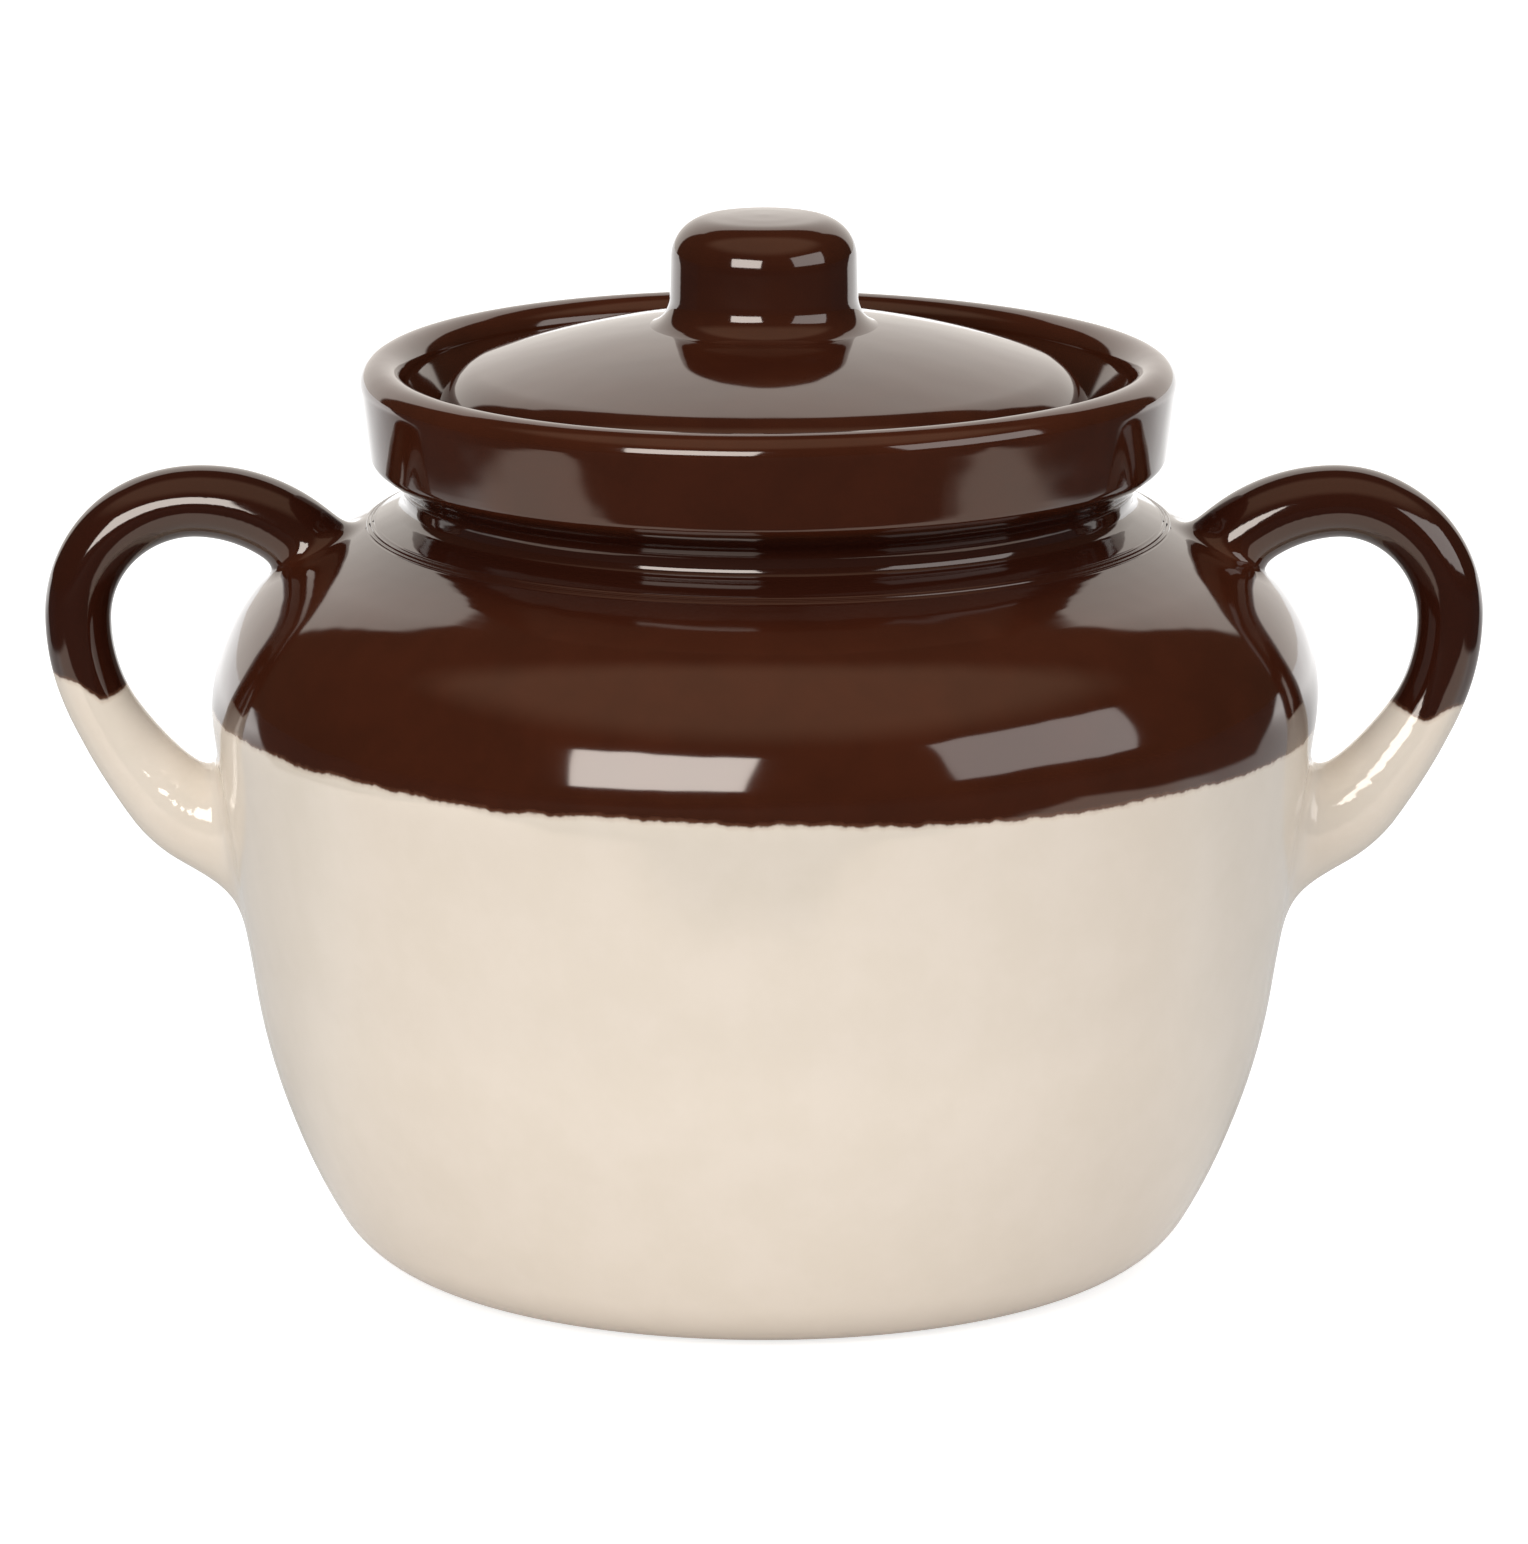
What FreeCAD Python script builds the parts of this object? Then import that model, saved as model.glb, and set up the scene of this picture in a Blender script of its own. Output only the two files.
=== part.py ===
import FreeCAD, Part
import math
import os
import Sketcher

# Stoneware bean pot: a turned pot with a galleried rim, two loop handles and a loose domed lid with its knob.
# Millimetres, +Z up, origin at the centre of the face that the pot stands on, handles along X.

DRIVING = {
    # turned outside of the pot
    "foot_recess": 1.5,
    "foot_ring_width": 9.0,
    "base_round": 23.0,
    "base_lean": 32.0,
    "lower_wall_radius": 126.0,
    "wall_lean": 8.2,
    "belly_radius": 115.0,
    "belly_height": 117.0,
    "shoulder_round": 33.0,
    "shoulder_slope": 28.0,
    "neck_inset": 41.0,
    "neck_height": 11.9,
    "neck_fillet": 4.0,
    # collar and its rolled rim
    "collar_overhang": 10.5,
    "collar_flare": 1.7,
    "collar_height": 19.1,
    "collar_corner": 3.0,
    "rim_wall": 9.2,
    "lip_outer_round": 4.3,
    # inside of the pot
    "pot_wall": 8.0,
    "ledge_width": 9.0,
    "throat_round": 2.5,
    "gallery_inset": 15.0,
    "gallery_depth": 16.4,
    "gallery_fillet": 2.0,
    # handles
    "handle_projection": 34.4,
    "handle_crown_rise": 50.0,
    "handle_crown_bend": 24.3,
    "handle_root_bend": 33.0,
    "handle_drop_bend": 48.0,
    "handle_upper_angle": 136.0,
    "handle_lower_angle": 56.0,
    "handle_embed": 16.0,
    "handle_depth": 14.4,
    "handle_side_depth": 13.7,
    "handle_spread": 1.2,
    "handle_root_depth": 19.6,
    "handle_upper_ratio": 1.45,
    "handle_lower_ratio": 1.12,
    "handle_lower_embed": 19.2,
    # lid and knob
    "lid_play": 3.2,
    "lid_seat_gap": 0.3,
    "lid_rim_height": 3.8,
    "lid_edge_round": 12.0,
    "lid_dome_radius": 178.0,
    "lid_wall": 7.5,
    "lid_ring_play": 1.2,
    "lid_ring_wall": 7.0,
    "lid_ring_depth": 5.0,
    "lid_ring_round": 1.5,
    "knob_radius": 19.5,
    "knob_taper": 0.4,
    "knob_height": 21.5,
    "knob_top_round": 8.5,
    "knob_crown": 0.8,
    "knob_flare": 6.4,
}

DERIVED = {
    # outside of the pot, from the belly down and then up
    "arc_x": "belly_radius - shoulder_round",
    "wall_top_x": "arc_x + shoulder_round * cos(wall_lean)",
    "wall_top_z": "belly_height - shoulder_round * sin(wall_lean)",
    "base_top_z": "base_round * (1 - sin(base_lean))",
    "wall_low_z": "base_top_z + lower_wall_radius * (sin(base_lean) - sin(wall_lean))",
    "wall_low_x": "wall_top_x - (wall_top_z - wall_low_z) * tan(wall_lean)",
    "base_top_x": "wall_low_x - lower_wall_radius * (cos(wall_lean) - cos(base_lean))",
    "foot_radius": "base_top_x - base_round * cos(base_lean)",
    "foot_ring_inner": "foot_radius - foot_ring_width",
    "recess_radius": "foot_ring_inner - foot_recess",
    "cone_low_x": "arc_x + shoulder_round * sin(shoulder_slope)",
    "cone_low_z": "belly_height + shoulder_round * cos(shoulder_slope)",
    "neck_radius": "belly_radius - neck_inset",
    "neck_base_z": "cone_low_z + (cone_low_x - neck_radius) * tan(shoulder_slope)",
    "collar_base_z": "neck_base_z + neck_height",
    "rim_height": "collar_base_z + collar_height",
    "collar_radius": "neck_radius + collar_overhang",
    "collar_base_x": "collar_radius - collar_flare",
    "lip_top_x": "collar_radius - lip_outer_round",
    "lip_low_z": "rim_height - lip_outer_round",
    # cavity, one wall inside the outside, with the gallery above it
    "gallery_radius": "collar_radius - gallery_inset",
    "gallery_height": "rim_height - gallery_depth",
    "throat_radius": "gallery_radius - ledge_width",
    "in_base_round": "base_round - pot_wall",
    "in_lower_radius": "lower_wall_radius - pot_wall",
    "in_shoulder_round": "shoulder_round - pot_wall",
    "in_base_top_x": "base_top_x - pot_wall * cos(base_lean)",
    "in_base_top_z": "base_top_z + pot_wall * sin(base_lean)",
    "in_wall_low_x": "wall_low_x - pot_wall * cos(wall_lean)",
    "in_wall_low_z": "wall_low_z + pot_wall * sin(wall_lean)",
    "in_wall_top_x": "wall_top_x - pot_wall * cos(wall_lean)",
    "in_wall_top_z": "wall_top_z + pot_wall * sin(wall_lean)",
    "in_cone_low_x": "cone_low_x - pot_wall * sin(shoulder_slope)",
    "in_cone_low_z": "cone_low_z - pot_wall * cos(shoulder_slope)",
    "throat_base_z": "in_cone_low_z + (in_cone_low_x - throat_radius) * tan(shoulder_slope)",
    "rim_inner_radius": "collar_radius - rim_wall",
    "lip_inner_round": "rim_wall - lip_outer_round",
    "lip_inner_z": "rim_height - lip_inner_round",
    "cavity_top_z": "rim_height + pot_wall",
    # lid
    "lid_radius": "gallery_radius - lid_play",
    "lid_seat_z": "gallery_height + lid_seat_gap",
    "lid_edge_z": "lid_seat_z + lid_rim_height",
    "lid_dome_z": "lid_edge_z - sqrt((lid_dome_radius - lid_edge_round)^2 - (lid_radius - lid_edge_round)^2)",
    "lid_crown_z": "lid_dome_z + lid_dome_radius",
    "lid_blend_x": "(lid_radius - lid_edge_round) * lid_dome_radius / (lid_dome_radius - lid_edge_round)",
    "lid_blend_z": "lid_dome_z + (lid_edge_z - lid_dome_z) * lid_dome_radius / (lid_dome_radius - lid_edge_round)",
    "lid_under_radius": "lid_dome_radius - lid_wall",
    "lid_under_z": "lid_crown_z - lid_wall",
    "lid_ring_outer": "throat_radius - lid_ring_play",
    "lid_ring_inner": "lid_ring_outer - lid_ring_wall",
    "lid_ring_z": "lid_seat_z - lid_ring_depth",
    "lid_ring_top_z": "lid_dome_z + sqrt(lid_under_radius^2 - lid_ring_inner^2)",
    # knob
    "knob_top_z": "lid_crown_z + knob_height",
    "knob_neck_radius": "knob_radius - knob_taper",
    "knob_top_x": "knob_neck_radius - knob_top_round",
    "knob_edge_z": "knob_top_z - knob_crown",
    "knob_shoulder_z": "knob_edge_z - knob_top_round",
    "knob_crown_radius": "(knob_top_x^2 + knob_crown^2) / (2 * knob_crown)",
    "knob_flare_x": "knob_radius + knob_flare",
    "knob_flare_z": "lid_dome_z + sqrt(lid_dome_radius^2 - knob_flare_x^2)",
    "knob_side_z": "knob_flare_z + knob_flare",
    "knob_root_z": "lid_crown_z - lid_wall / 2",
    # handles: centre line
    "handle_out_x": "belly_radius + handle_projection - handle_side_depth / 2",
    "handle_top_z": "belly_height + handle_crown_rise - handle_depth / 2",
    "crown_bend_x": "handle_out_x - handle_crown_bend",
    "crown_bend_z": "handle_top_z - handle_crown_bend",
    "root_bend_z": "handle_top_z - handle_root_bend",
    "drop_bend_x": "handle_out_x - handle_drop_bend",
    "upper_root_x": "crown_bend_x + handle_root_bend * cos(handle_upper_angle)",
    "upper_root_z": "root_bend_z + handle_root_bend * sin(handle_upper_angle)",
    "lower_root_x": "drop_bend_x + handle_drop_bend * cos(handle_lower_angle)",
    "lower_root_z": "crown_bend_z - handle_drop_bend * sin(handle_lower_angle)",
}

doc = FreeCAD.newDocument("bean_pot")
sheet = doc.addObject("Spreadsheet::Sheet", "sizes")


def fill_sheet():
    row = 1
    for alias, value in DRIVING.items():
        sheet.set(f"A{row}", alias)
        sheet.set(f"B{row}", str(value))
        sheet.setAlias(f"B{row}", alias)
        row += 1
    for alias, formula in DERIVED.items():
        sheet.set(f"A{row}", alias)
        sheet.setAlias(f"B{row}", alias)
        sheet.set(f"B{row}", "=" + formula)
        row += 1
    doc.recompute()


def size(alias):
    return float(sheet.get(alias))


def origin_plane(body, role):
    for feature in body.Origin.OriginFeatures:
        if feature.Role == role:
            return feature
    raise ValueError(role)


def bind(sketch, constraint, alias):
    index = sketch.addConstraint(constraint)
    sketch.setExpression(f"Constraints[{index}]", f"sizes.{alias}")


def place_point(sketch, geometry, end, x_alias, z_alias):
    """Hold one end of a sketch line or arc at a radius and a height from the sheet."""
    if x_alias is None:
        sketch.addConstraint(Sketcher.Constraint("PointOnObject", geometry, end, -2))
    else:
        bind(sketch, Sketcher.Constraint("DistanceX", -1, 1, geometry, end, size(x_alias)), x_alias)
    if z_alias is None:
        sketch.addConstraint(Sketcher.Constraint("PointOnObject", geometry, end, -1))
    else:
        bind(sketch, Sketcher.Constraint("DistanceY", -1, 1, geometry, end, size(z_alias)), z_alias)


def arc_between(start, end, radius, side):
    """The short arc of the given radius; side +1 puts its centre left of the way from start to end."""
    chord = end.sub(start)
    middle = start.add(end).multiply(0.5)
    height = math.sqrt(radius ** 2 - (chord.Length / 2) ** 2)
    left = FreeCAD.Vector(-chord.y, chord.x, 0).normalize()
    centre = middle.add(left.multiply(side * height))
    first, last = (start, end) if side > 0 else (end, start)
    angles = [math.atan2(p.y - centre.y, p.x - centre.x) for p in (first, last)]
    return Part.ArcOfCircle(Part.Circle(centre, FreeCAD.Vector(0, 0, 1), radius), angles[0], angles[1])


def outline_sketch(body, name, stations):
    """A closed half outline on the XZ plane.

    Each station is (radius alias, height alias, bend), where bend says how the outline runs on to the
    next station: None for a straight line, or (radius alias, side) for an arc.
    """
    sketch = body.newObject("Sketcher::SketchObject", name)
    sketch.AttachmentSupport = [(origin_plane(body, "XZ_Plane"), "")]
    sketch.MapMode = "FlatFace"
    points = [
        FreeCAD.Vector(size(x) if x else 0.0, size(z) if z else 0.0, 0) for x, z, _ in stations
    ]
    ends = []
    for index, (_, _, bend) in enumerate(stations):
        start = points[index]
        end = points[(index + 1) % len(points)]
        if bend is None:
            geometry = sketch.addGeometry(Part.LineSegment(start, end))
            ends.append((geometry, 1, 2))
        else:
            radius_alias, side = bend
            geometry = sketch.addGeometry(arc_between(start, end, size(radius_alias), side))
            ends.append((geometry, 1, 2) if side > 0 else (geometry, 2, 1))
    for index, (geometry, _, tail) in enumerate(ends):
        following, head, _ = ends[(index + 1) % len(ends)]
        sketch.addConstraint(Sketcher.Constraint("Coincident", geometry, tail, following, head))
    for (geometry, head, _), (x_alias, z_alias, bend) in zip(ends, stations):
        place_point(sketch, geometry, head, x_alias, z_alias)
        if bend is not None:
            bind(sketch, Sketcher.Constraint("Radius", geometry, size(bend[0])), bend[0])
    return sketch


def turned_body(name, stations):
    """A body turned about Z from its half outline."""
    body = doc.addObject("PartDesign::Body", name)
    sketch = outline_sketch(body, name + "_outline", stations)
    turning = body.newObject("PartDesign::Revolution", name + "_turning")
    turning.Profile = sketch
    turning.ReferenceAxis = (sketch, ["V_Axis"])
    turning.Angle = 360.0
    sketch.Visibility = False
    doc.recompute()
    return body


def round_edges(body, name, edges, radius_alias):
    """Fillet the ring edges that lie at the given (radius alias, height alias) places."""
    base = body.Tip
    found = []
    for radius, height in edges:
        for number, edge in enumerate(base.Shape.Edges, start=1):
            if edge.Degenerated or not isinstance(edge.Curve, Part.Circle):
                continue
            curve = edge.Curve
            if abs(curve.Radius - size(radius)) < 1e-4 and abs(curve.Center.z - size(height)) < 1e-4:
                found.append(f"Edge{number}")
    if len(found) != len(edges):
        raise ValueError(f"{name}: found {found} for {edges}")
    fillet = body.newObject("PartDesign::Fillet", name)
    fillet.Base = (base, found)
    fillet.Radius = size(radius_alias)
    fillet.setExpression("Radius", f"sizes.{radius_alias}")
    doc.recompute()


def cut(name, base, tool):
    result = doc.addObject("Part::Cut", name)
    result.Base = base
    result.Tool = tool
    result.Label = name
    doc.recompute()
    return result


def pot_form():
    """The outside of the pot as one solid turning, foot to rim."""
    body = turned_body("pot_form", [
        (None, "foot_recess", None),
        ("recess_radius", "foot_recess", None),
        ("foot_ring_inner", None, None),
        ("foot_radius", None, ("base_round", 1)),
        ("base_top_x", "base_top_z", ("lower_wall_radius", 1)),
        ("wall_low_x", "wall_low_z", None),
        ("wall_top_x", "wall_top_z", ("shoulder_round", 1)),
        ("cone_low_x", "cone_low_z", None),
        ("neck_radius", "neck_base_z", None),
        ("neck_radius", "collar_base_z", None),
        ("collar_base_x", "collar_base_z", None),
        ("collar_radius", "lip_low_z", ("lip_outer_round", 1)),
        ("lip_top_x", "rim_height", None),
        (None, "rim_height", None),
    ])
    neck = [("neck_radius", "neck_base_z"), ("neck_radius", "collar_base_z")]
    round_edges(body, "neck_fillets", neck, "neck_fillet")
    round_edges(body, "collar_corner_round", [("collar_base_x", "collar_base_z")], "collar_corner")
    return body


def pot_cavity():
    """What the wall encloses: the bowl, the throat, and the gallery that the lid drops into."""
    body = turned_body("pot_cavity", [
        (None, "pot_wall", None),
        ("foot_radius", "pot_wall", ("in_base_round", 1)),
        ("in_base_top_x", "in_base_top_z", ("in_lower_radius", 1)),
        ("in_wall_low_x", "in_wall_low_z", None),
        ("in_wall_top_x", "in_wall_top_z", ("in_shoulder_round", 1)),
        ("in_cone_low_x", "in_cone_low_z", None),
        ("throat_radius", "throat_base_z", None),
        ("throat_radius", "gallery_height", None),
        ("gallery_radius", "gallery_height", None),
        ("rim_inner_radius", "lip_inner_z", ("lip_inner_round", -1)),
        ("lip_top_x", "rim_height", None),
        ("lip_top_x", "cavity_top_z", None),
        (None, "cavity_top_z", None),
    ])
    throat = [("throat_radius", "throat_base_z"), ("throat_radius", "gallery_height")]
    round_edges(body, "throat_rounds", throat, "throat_round")
    round_edges(body, "gallery_corner", [("gallery_radius", "gallery_height")], "gallery_fillet")
    return body


def handle_stations(side):
    """The handle's sections from the upper root to the lower one.

    Each is (x, z, turn, depth): formulas for the centre line's place, for the angle in degrees by which
    the section's plane is turned about Y from the YZ plane, and for the section's depth.
    """
    stations = []

    def add(x, z, angle, depth):
        stations.append((f"{side} * ({x})", z, f"{side} * ({angle})", depth))

    def on_bend(x, z, bend, angle, depth):
        add(f"sizes.{x} + sizes.{bend} * cos({angle})", f"sizes.{z} + sizes.{bend} * sin({angle})",
            f"90 - ({angle})", depth)

    crown_depth = "sizes.handle_depth"
    side_depth = "sizes.handle_side_depth"
    root_depth = "sizes.handle_root_depth"
    upper = "sizes.handle_upper_angle"
    lower = "sizes.handle_lower_angle"
    upper_run = "sizes.handle_embed"
    lower_run = "sizes.handle_lower_embed"
    add(f"sizes.upper_root_x - {upper_run} * sin({upper})",
        f"sizes.upper_root_z + {upper_run} * cos({upper})",
        f"90 - {upper}", f"{crown_depth} * sizes.handle_upper_ratio")
    for angle in (upper, f"(90 + {upper}) / 2", "90"):
        on_bend("crown_bend_x", "root_bend_z", "handle_root_bend", angle, crown_depth)
    for angle in (60, 30, 0):
        depth = f"{side_depth} + ({crown_depth} - {side_depth}) * {angle} / 90"
        on_bend("crown_bend_x", "crown_bend_z", "handle_crown_bend", angle, depth)
    for share in ("1 / 3", "2 / 3", "1"):
        depth = f"{side_depth} + ({root_depth} - {side_depth}) * ({share}) ^ 1.5"
        on_bend("drop_bend_x", "crown_bend_z", "handle_drop_bend", f"-({share}) * {lower}", depth)
    for share in ("1 / 2", "1"):
        add(f"sizes.lower_root_x - ({share}) * {lower_run} * sin({lower})",
            f"sizes.lower_root_z - ({share}) * {lower_run} * cos({lower})",
            f"90 + {lower}", f"{root_depth} * (1 + (sizes.handle_lower_ratio - 1) * ({share}))")
    return stations


def handle(name, side, form):
    """One pulled loop handle, lofted through its sections and trimmed to the pot's outside."""
    body = doc.addObject("PartDesign::Body", name + "_form")
    sections = []
    for number, (x, z, turn, depth) in enumerate(handle_stations(side), start=1):
        section = body.newObject("Sketcher::SketchObject", f"{name}_section_{number}")
        section.AttachmentSupport = [(origin_plane(body, "YZ_Plane"), "")]
        section.MapMode = "FlatFace"
        # any ellipse to start from; the formulas below then set it
        long_half = size("handle_depth")
        short_half = long_half / 2
        section.addGeometry(Part.Ellipse(FreeCAD.Vector(0, 0, 0), long_half, short_half))
        section.exposeInternalGeometry(0)
        section.addConstraint(Sketcher.Constraint("Coincident", 0, 3, -1, 1))
        section.addConstraint(Sketcher.Constraint("Horizontal", 1))
        wide = section.addConstraint(Sketcher.Constraint("Distance", 1, 2 * long_half))
        deep = section.addConstraint(Sketcher.Constraint("Distance", 2, 2 * short_half))
        section.setExpression(f"Constraints[{wide}]", f"{depth} + sizes.handle_spread")
        section.setExpression(f"Constraints[{deep}]", depth)
        section.setExpression(".AttachmentOffset.Base.y", z)
        section.setExpression(".AttachmentOffset.Base.z", x)
        section.setExpression(".AttachmentOffset.Rotation.Angle", turn)
        section.setExpression(".AttachmentOffset.Rotation.Axis.x", "1")
        section.setExpression(".AttachmentOffset.Rotation.Axis.z", "0")
        sections.append(section)
    doc.recompute()
    loft = body.newObject("PartDesign::AdditiveLoft", name + "_loft")
    loft.Profile = sections[0]
    loft.Sections = sections[1:]
    loft.Ruled = False
    doc.recompute()
    return cut(name, body, form)


def lid():
    """The domed lid: a flange that sits in the gallery and a locating ring that drops into the throat."""
    body = turned_body("lid", [
        (None, "lid_under_z", ("lid_under_radius", -1)),
        ("lid_ring_inner", "lid_ring_top_z", None),
        ("lid_ring_inner", "lid_ring_z", None),
        ("lid_ring_outer", "lid_ring_z", None),
        ("lid_ring_outer", "lid_seat_z", None),
        ("lid_radius", "lid_seat_z", None),
        ("lid_radius", "lid_edge_z", ("lid_edge_round", 1)),
        ("lid_blend_x", "lid_blend_z", ("lid_dome_radius", 1)),
        (None, "lid_crown_z", None),
    ])
    ring = [("lid_ring_inner", "lid_ring_z"), ("lid_ring_outer", "lid_ring_z")]
    round_edges(body, "lid_ring_rounds", ring, "lid_ring_round")
    body.Label = "lid"
    return body


def lid_knob(lid_body):
    """The stub knob, with a flared root that is luted to the crown of the lid."""
    form = turned_body("knob_form", [
        (None, "knob_root_z", None),
        ("knob_flare_x", "knob_root_z", None),
        ("knob_flare_x", "knob_flare_z", ("knob_flare", -1)),
        ("knob_radius", "knob_side_z", None),
        ("knob_neck_radius", "knob_shoulder_z", ("knob_top_round", 1)),
        ("knob_top_x", "knob_edge_z", ("knob_crown_radius", 1)),
        (None, "knob_top_z", None),
    ])
    return cut("lid_knob", form, lid_body)


def check_document():
    for obj in doc.Objects:
        if "Invalid" in obj.State or "Error" in obj.State:
            raise RuntimeError(f"{obj.Name} failed: {obj.State}")


def write_parts(nodes):
    os.makedirs("parts", exist_ok=True)
    for node in nodes:
        shape = node.Shape
        if shape.isNull() or not shape.isValid():
            raise RuntimeError(f"{node.Label} has no valid shape")
        shape.exportStep(f"parts/{node.Label}.step")
        box = shape.BoundBox
        print(f"{node.Label}: {len(shape.Solids)} solid, {shape.Volume / 1000:.1f} ml,"
              f" x {box.XMin:.1f} to {box.XMax:.1f}, z {box.ZMin:.1f} to {box.ZMax:.1f}")


fill_sheet()
outside = pot_form()
nodes = [cut("pot_body", outside, pot_cavity())]
for handle_name, handle_side in (("handle_left", -1), ("handle_right", 1)):
    nodes.append(handle(handle_name, handle_side, outside))
turned_lid = lid()
nodes += [turned_lid, lid_knob(turned_lid)]
doc.recompute()
check_document()
write_parts(nodes)
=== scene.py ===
import math

import bpy
import numpy as np
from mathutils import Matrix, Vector


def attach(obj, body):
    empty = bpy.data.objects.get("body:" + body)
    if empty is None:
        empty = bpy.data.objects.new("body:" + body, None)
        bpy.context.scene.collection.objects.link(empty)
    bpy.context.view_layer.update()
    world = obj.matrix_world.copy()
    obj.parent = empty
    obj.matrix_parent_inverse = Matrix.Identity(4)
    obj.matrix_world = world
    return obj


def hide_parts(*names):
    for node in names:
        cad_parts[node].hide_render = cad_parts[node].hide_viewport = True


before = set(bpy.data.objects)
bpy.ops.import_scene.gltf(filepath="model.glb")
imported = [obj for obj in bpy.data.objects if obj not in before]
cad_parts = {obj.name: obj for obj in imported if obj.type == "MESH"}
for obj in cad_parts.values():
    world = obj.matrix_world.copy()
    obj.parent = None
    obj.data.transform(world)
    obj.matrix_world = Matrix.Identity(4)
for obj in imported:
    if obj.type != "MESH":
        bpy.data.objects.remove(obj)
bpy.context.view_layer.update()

MM = 0.001

# Steps round a turned piece, and the cell of the net over a handle in millimetres
TURNS = 420
CELL = 0.75


# Outlines, as (radius, height) in millimetres

def arc(centre, radius, start, end, steps):
    """Points of an arc, its ends included; angles in degrees from the radial direction."""
    angles = np.radians(np.linspace(start, end, steps + 1))
    return [(centre[0] + radius * math.cos(a), centre[1] + radius * math.sin(a)) for a in angles]


def rounded(corners, steps=8):
    """Points of a line through the corners (r, z, rounding radius)."""
    points = [tuple(corners[0][:2])]
    for before, here, after in zip(corners, corners[1:], corners[2:]):
        corner = np.array(here[:2], float)
        radius = here[2]
        if not radius:
            points.append(tuple(corner))
            continue
        back = np.array(before[:2]) - corner
        ahead = np.array(after[:2]) - corner
        back /= np.linalg.norm(back)
        ahead /= np.linalg.norm(ahead)
        half = math.acos(max(-1.0, min(1.0, float(back @ ahead)))) / 2
        middle = (back + ahead) / np.linalg.norm(back + ahead)
        centre = corner + middle * radius / math.sin(half)
        start = corner + back * radius / math.tan(half) - centre
        end = corner + ahead * radius / math.tan(half) - centre
        first = math.atan2(start[1], start[0])
        sweep = math.atan2(end[1], end[0]) - first
        sweep = (sweep + math.pi) % (2 * math.pi) - math.pi
        for i in range(steps + 1):
            angle = first + sweep * i / steps
            points.append((centre[0] + radius * math.cos(angle), centre[1] + radius * math.sin(angle)))
    points.append(tuple(corners[-1][:2]))
    return points


def evened(points, longest=1.2):
    """The same line with no step longer than the given length and no repeated point."""
    out = [points[0]]
    for point in points[1:]:
        last = out[-1]
        length = math.dist(last, point)
        if length < 0.05:
            continue
        parts = max(1, math.ceil(length / longest))
        for i in range(1, parts + 1):
            share = i / parts
            out.append((last[0] + (point[0] - last[0]) * share, last[1] + (point[1] - last[1]) * share))
    return np.array(out)


def distance_along(line):
    return np.concatenate([[0], np.cumsum(np.hypot(*np.diff(line, axis=0).T))])


def directions(line):
    """Unit vectors along a line, one for each point."""
    ahead = np.gradient(line, axis=0)
    return ahead / np.linalg.norm(ahead, axis=1)[:, None]


# The outside of the pot, from the foot up; an angle is where one arc hands over to the next
WALL = 8.0
FOOT_RECESS = 1.5
BASE_CENTRE = (69.75, 23.0)
BASE_RADIUS = 23.0
BASE_END = -32
WALL_CENTRE = (-17.6, 77.6)
WALL_RADIUS = 126.0
WALL_END = -8.2
SHOULDER_CENTRE = (80.5, 118.3)
SHOULDER_RADIUS = 34.5
SHOULDER_END = 63
SHOULDER_TOP = (96.16, 149.04)
NECK_RADIUS = 75.6
NECK_FOOT = (NECK_RADIUS, 159.5, 3.0)
COLLAR_FOOT = (80.0, 167.5, 0)
OUTER_LIP_CENTRE = (80.2, 185.3)
INNER_LIP_CENTRE = (80.2, 184.7)
THROAT_RADIUS = 60.5
GALLERY_HEIGHT = 173.2

# Marks in the clay round the neck: fine and wide rings left by the fingers, and grooves left by a rib
FINGER_HEIGHTS = (148, 153, 159, 164, 166.5)
FINGER_SHARES = (0, 0.7, 1, 1, 0)
FINE_DEPTH = 0.001
FINE_PITCH = 1.7
WIDE_DEPTH = 0.004
WIDE_PITCH = 4.1
RIB_DEPTH = 0.15
RIB_PITCH = 0.9
RIB_RADIUS = 82.6
RIB_REACH = 1.0


def waves(run, depth, pitch):
    return depth * np.sin(run * 2 * math.pi / pitch)


def ringed(line):
    """The line with fine rings left by the fingers, and a few grooves left by a rib just below the neck."""
    run = distance_along(line)
    rings = waves(run, FINE_DEPTH, FINE_PITCH) + waves(run, WIDE_DEPTH, WIDE_PITCH)
    rings *= np.interp(line[:, 1], FINGER_HEIGHTS, FINGER_SHARES)
    rings += waves(run, RIB_DEPTH, RIB_PITCH) * np.exp(-((line[:, 0] - RIB_RADIUS) / RIB_REACH) ** 4)
    ahead = directions(line)
    return line + rings[:, None] * np.stack([ahead[:, 1], -ahead[:, 0]], axis=1)


foot_line = rounded([(0, FOOT_RECESS, 0), (59.6, FOOT_RECESS, 2.0), (61.4, 0, 1.2), (BASE_CENTRE[0], 0, 0)])
belly_line = (
    arc(BASE_CENTRE, BASE_RADIUS, -90, BASE_END, 18)
    + arc(WALL_CENTRE, WALL_RADIUS, BASE_END, WALL_END, 34)
    + arc(SHOULDER_CENTRE, SHOULDER_RADIUS, WALL_END, SHOULDER_END, 40)
)
plain_neck = rounded([(*SHOULDER_TOP, 0), NECK_FOOT, (NECK_RADIUS, 164.2, 4.0), COLLAR_FOOT], 12)
neck_line = ringed(evened(plain_neck, 0.12)).tolist()
collar_line = rounded([COLLAR_FOOT, (82.5, 169.35, 3.4), (84.468, 184.78, 0)], 12)
lip_line = arc(OUTER_LIP_CENTRE, 4.3, -7, 90, 18) + arc(INNER_LIP_CENTRE, 4.9, 90, 180, 14)
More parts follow.
